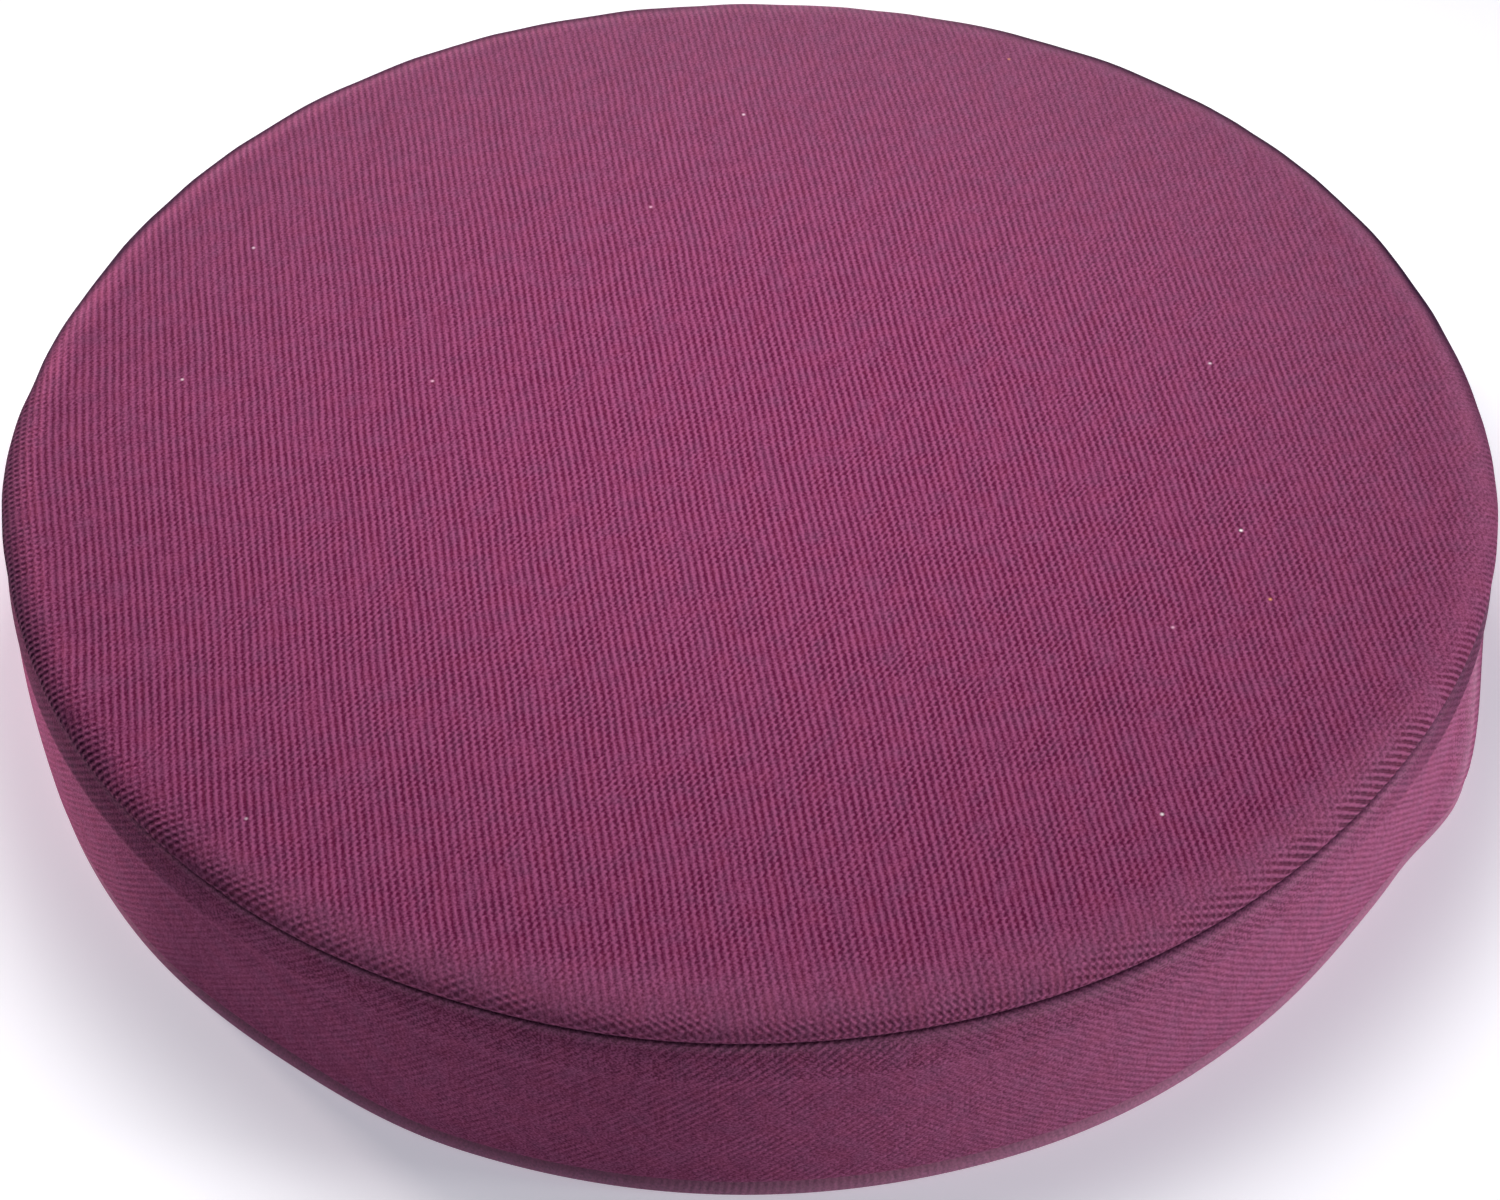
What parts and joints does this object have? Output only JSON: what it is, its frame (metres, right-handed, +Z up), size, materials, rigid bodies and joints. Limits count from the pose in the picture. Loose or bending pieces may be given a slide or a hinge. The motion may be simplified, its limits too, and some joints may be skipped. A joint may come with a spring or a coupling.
{
  "type": "round seat cushion",
  "caption": "Flat round boxed seat cushion: crowned top panel, side band between plain sewn seams, ribbed woven cover, flat underside to lie on a seat.",
  "frame": {"origin": "middle of the flat underside, where the cushion rests", "axes": "+Z up through the thickness; -Y towards the front, as seen in the picture; +X to its right"},
  "size_m": [0.4029, 0.4016, 0.073],
  "materials": {
    "woven_cover": "two-tone ribbed weave, mauve yarn over dark plum, soft matt sheen"
  },
  "bodies": {
    "root": {"cushion": "woven_cover"}
  },
  "joints": []
}
